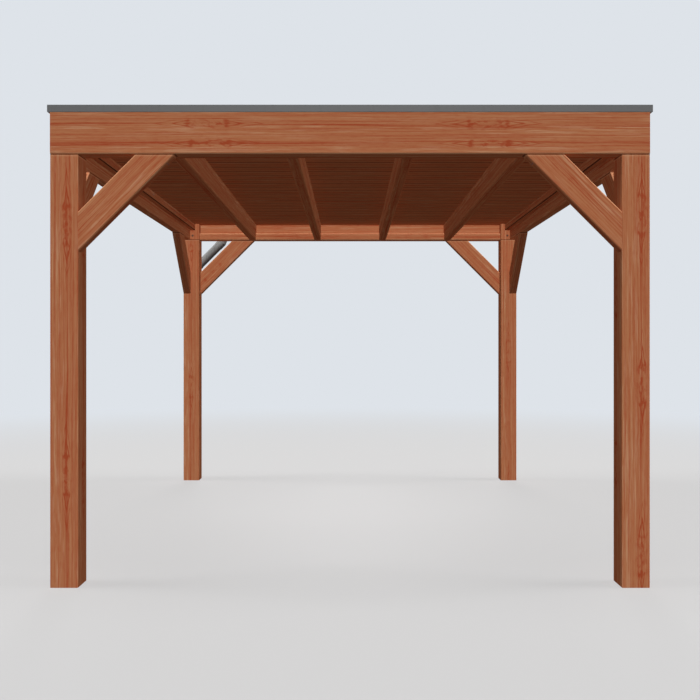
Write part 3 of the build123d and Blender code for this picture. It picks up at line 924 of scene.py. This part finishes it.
# even fill lamps that throw no shadow, and soft sky light from the sides and the rear that does
light = {
    "ambient": 0.03,
    # strength, the way the light travels, and its tint as thrown back by the timber
    "fillLamps": {
        "front": (1.172, (-0.03, 0.765, -0.645), (1.0, 1.0, 1.0)),
        "right": (0.312, (-1.0, 0.0, -0.55), (1.0, 0.93, 0.88)),
        "left": (0.235, (1.0, 0.0, -0.55), (1.0, 0.93, 0.88)),
        "below": (0.166, (0.0, -0.25, 1.0), (1.0, 0.80, 0.68)),
        "rear": (0.50, (0.0, -1.0, -0.2), (1.0, 1.0, 1.0)),
    },
    "skyLamps": {
        "left": (0.29, (0.743, 0.0, -0.669), (1.0, 1.0, 1.0)),
        "right": (0.29, (-0.743, 0.0, -0.669), (1.0, 1.0, 1.0)),
        "rear": (0.22, (0.0, -0.743, -0.669), (1.0, 1.0, 1.0)),
    },
    "softness": {"fillLamps": 3.0, "skyLamps": 22.0},
    "backdrop": paint(222, 227, 233),
    "floor": paint(208, 209, 211),
    "floorShade": 0.28,
    "floorBounce": 0.03,
    "floorGlow": 0.37,
    "floorFade": (3.0, 11.0),
    "floorReach": 60.0,
    "floorDrop": 0.0005,
}
for kind in ("fillLamps", "skyLamps"):
    for name, (strength, toward, hue) in light[kind].items():
        lamp = bpy.data.lights.new(kind + "_" + name, "SUN")
        lamp.energy = math.pi * strength
        lamp.color = hue
        lamp.angle = math.radians(light["softness"][kind])
        lamp.use_shadow = kind == "skyLamps"
        holder = bpy.data.objects.new(lamp.name, lamp)
        holder.rotation_euler = Vector(toward).to_track_quat("-Z", "Y").to_euler()
        scene.collection.objects.link(holder)


# one for rays that draw the backdrop, nought for those that light the object
def seenDirectly(tree):
    path = tree.nodes.new("ShaderNodeLightPath")
    direct = calc(tree, "ADD", path.outputs["Is Camera Ray"], path.outputs["Is Glossy Ray"])
    return calc(tree, "ADD", direct, path.outputs["Is Transmission Ray"], clamp=True)


world = bpy.data.worlds.new("studio")
scene.world = world
world.use_nodes = True
sky = world.node_tree
ambient = light["ambient"]
feed(sky, sky.nodes["Background"].inputs["Color"],
     blendColour(sky, seenDirectly(sky), (ambient, ambient, ambient, 1), light["backdrop"]))

# the floor keeps the shadow near the object and fades into the backdrop further off
floorMesh = bpy.data.meshes.new("floor")
reach = light["floorReach"]
floorMesh.from_pydata([(-reach, -reach, 0), (reach, -reach, 0), (reach, reach, 0), (-reach, reach, 0)],
                      [], [(0, 1, 2, 3)])
floor = bpy.data.objects.new("floor", floorMesh)
scene.collection.objects.link(floor)
floor.location.z = -light["floorDrop"]
material, tree, shader = newMaterial("pale_floor")
tree.nodes.remove(shader)
direct = seenDirectly(tree)
away = vec(tree, "LENGTH", tree.nodes.new("ShaderNodeTexCoord").outputs["Object"])
faded = calc(tree, "MULTIPLY", smooth(tree, away, *light["floorFade"]), direct)
diffuse = tree.nodes.new("ShaderNodeBsdfDiffuse")
bounce = light["floorBounce"]
shade = light["floorShade"]
shown = blendColour(tree, direct, (bounce, bounce, bounce, 1), (shade, shade, shade, 1))
feed(tree, diffuse.inputs["Color"], blendColour(tree, faded, shown, (0, 0, 0, 1)))
glow = tree.nodes.new("ShaderNodeEmission")
feed(tree, glow.inputs["Color"], blendColour(tree, faded, light["floor"], light["backdrop"]))
glowStrength = calc(tree, "ADD", light["floorGlow"], calc(tree, "MULTIPLY", faded, 1 - light["floorGlow"]))
feed(tree, glow.inputs["Strength"], calc(tree, "MULTIPLY", direct, glowStrength))
both = tree.nodes.new("ShaderNodeAddShader")
tree.links.new(diffuse.outputs["BSDF"], both.inputs[0])
tree.links.new(glow.outputs["Emission"], both.inputs[1])
tree.links.new(both.outputs["Shader"], tree.nodes["Material Output"].inputs["Surface"])
floorMesh.materials.append(material)
scene.view_settings.view_transform = "Standard"
print("camera, light and floor set")
